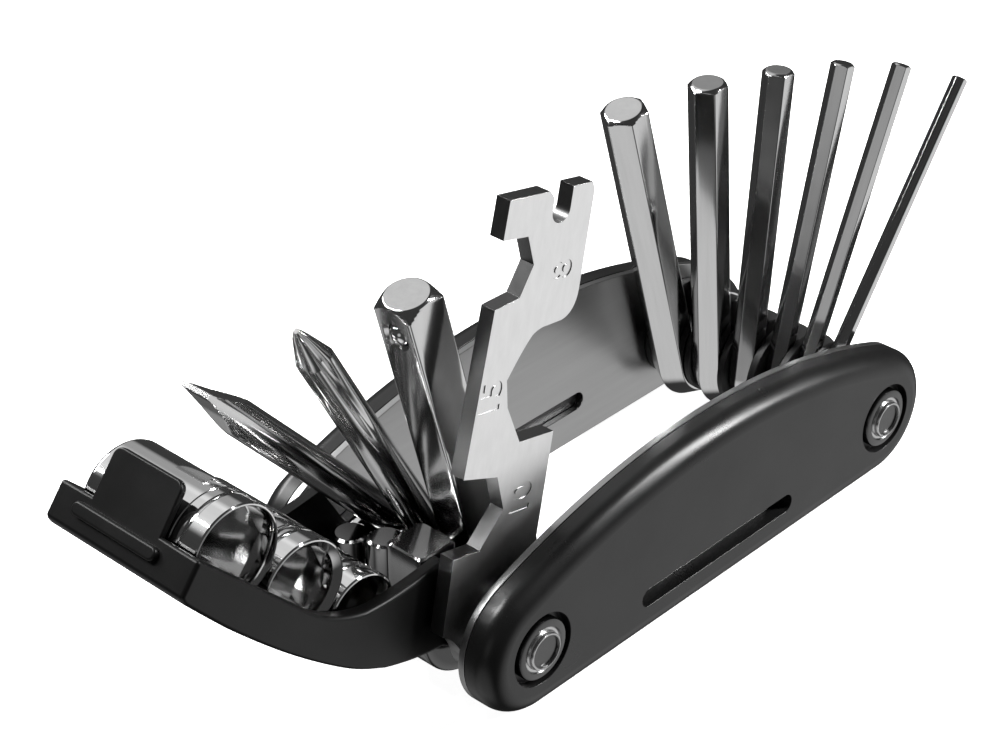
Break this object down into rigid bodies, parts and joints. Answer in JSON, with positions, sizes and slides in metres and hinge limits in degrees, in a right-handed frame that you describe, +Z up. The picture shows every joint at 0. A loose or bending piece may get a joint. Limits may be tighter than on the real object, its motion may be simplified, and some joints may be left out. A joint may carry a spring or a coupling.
{
  "type": "folding bicycle multi-tool",
  "caption": "Folding bicycle multi-tool: two side plates on two axles, with hex keys, screwdrivers, a socket extension, sockets in a tray and a flat wrench.",
  "frame": {"origin": "under the middle of the whole opened-out object, on the surface that its plates stand on", "axes": "+X along the plates from the sockets' end to the hex keys' end, +Y across from the near plate to the far one, +Z up"},
  "size_m": [0.146, 0.0454, 0.0696],
  "materials": {
    "shell_black": "satin moulded composite",
    "liner_steel": "brushed",
    "dark_steel": "blackened",
    "spacer_black": "matte",
    "washer_chrome": "polished",
    "tool_chrome": "polished",
    "ball_steel": "polished",
    "wrench_chrome": "satin",
    "tray_black": "matte moulded",
    "socket_chrome": "polished"
  },
  "bodies": {
    "frame_plates": {"near_shell": "shell_black", "far_shell": "shell_black", "near_liner": "liner_steel", "far_liner": "liner_steel", "left_bolt": "dark_steel", "left_nut": "dark_steel", "right_bolt": "dark_steel", "right_nut": "dark_steel", "key_spacer_1": "spacer_black", "key_spacer_2": "spacer_black", "key_spacer_3": "spacer_black", "key_spacer_4": "spacer_black", "key_spacer_5": "spacer_black", "key_spacer_6": "spacer_black", "key_spacer_7": "spacer_black", "near_washer": "washer_chrome", "driver_washer_1": "washer_chrome", "driver_washer_2": "washer_chrome", "driver_washer_3": "washer_chrome", "far_washer": "spacer_black"},
    "key_6mm": {"hex_key_6mm": "tool_chrome"},
    "key_5mm": {"hex_key_5mm": "tool_chrome"},
    "key_4mm": {"hex_key_4mm": "tool_chrome"},
    "key_3mm": {"hex_key_3mm": "tool_chrome"},
    "key_2p5mm": {"hex_key_2p5mm": "tool_chrome"},
    "key_2mm": {"hex_key_2mm": "tool_chrome"},
    "slotted": {"slotted_driver": "tool_chrome"},
    "phillips": {"phillips_driver": "tool_chrome"},
    "extension": {"extension_bar": "tool_chrome", "detent_spring": "ball_steel"},
    "ball": {"detent_ball": "ball_steel"},
    "wrench": {"flat_wrench": "wrench_chrome"},
    "tray": {"socket_tray": "tray_black"},
    "socket_10mm": {"socket_10mm": "socket_chrome"},
    "socket_9mm": {"socket_9mm": "socket_chrome"},
    "socket_8mm": {"socket_8mm": "socket_chrome"}
  },
  "joints": [
    {"name": "key_6mm_fold", "type": "hinge", "parent": "frame_plates", "child": "key_6mm", "pos_m": [0.04656, 0, 0.0096], "axis": [0, 1, 0], "range_deg": [-74.5, 105.5]},
    {"name": "key_5mm_fold", "type": "hinge", "parent": "frame_plates", "child": "key_5mm", "pos_m": [0.04656, 0, 0.0096], "axis": [0, 1, 0], "range_deg": [-85.9, 94.1]},
    {"name": "key_4mm_fold", "type": "hinge", "parent": "frame_plates", "child": "key_4mm", "pos_m": [0.04656, 0, 0.0096], "axis": [0, 1, 0], "range_deg": [-95.1, 84.9]},
    {"name": "key_3mm_fold", "type": "hinge", "parent": "frame_plates", "child": "key_3mm", "pos_m": [0.04656, 0, 0.0096], "axis": [0, 1, 0], "range_deg": [-104, 76]},
    {"name": "key_2p5mm_fold", "type": "hinge", "parent": "frame_plates", "child": "key_2p5mm", "pos_m": [0.04656, 0, 0.0096], "axis": [0, 1, 0], "range_deg": [-113.9, 66.1]},
    {"name": "key_2mm_fold", "type": "hinge", "parent": "frame_plates", "child": "key_2mm", "pos_m": [0.04656, 0, 0.0096], "axis": [0, 1, 0], "range_deg": [-126.3, 53.7]},
    {"name": "slotted_fold", "type": "hinge", "parent": "frame_plates", "child": "slotted", "pos_m": [-0.02524, 0, 0.0096], "axis": [0, 1, 0], "range_deg": [-4, 131]},
    {"name": "phillips_fold", "type": "hinge", "parent": "frame_plates", "child": "phillips", "pos_m": [-0.02524, 0, 0.0096], "axis": [0, 1, 0], "range_deg": [-19, 116]},
    {"name": "extension_fold", "type": "hinge", "parent": "frame_plates", "child": "extension", "pos_m": [-0.02524, 0, 0.0096], "axis": [0, 1, 0], "range_deg": [-31, 104]},
    {"name": "ball_press", "type": "slide", "parent": "extension", "child": "ball", "axis": [0.9673, 0, 0.2538], "range_m": [0, 0.00055], "stiffness_N_per_m": 200, "springref_m": -0.0005},
    {"name": "wrench_fold", "type": "hinge", "parent": "frame_plates", "child": "wrench", "pos_m": [-0.02524, 0, 0.0096], "axis": [0, 1, 0], "range_deg": [-92, 77]},
    {"name": "tray_fold", "type": "hinge", "parent": "frame_plates", "child": "tray", "pos_m": [-0.02524, 0, 0.0096], "axis": [0, 1, 0], "range_deg": [-30, 3]},
    {"name": "socket_10mm_lift", "type": "slide", "parent": "tray", "child": "socket_10mm", "axis": [0.6293, 0, 0.7771], "range_m": [0, 0.0045]},
    {"name": "socket_9mm_lift", "type": "slide", "parent": "tray", "child": "socket_9mm", "axis": [0.6293, 0, 0.7771], "range_m": [0, 0.0045]},
    {"name": "socket_8mm_lift", "type": "slide", "parent": "tray", "child": "socket_8mm", "axis": [0.6293, 0, 0.7771], "range_m": [0, 0.0045]}
  ]
}
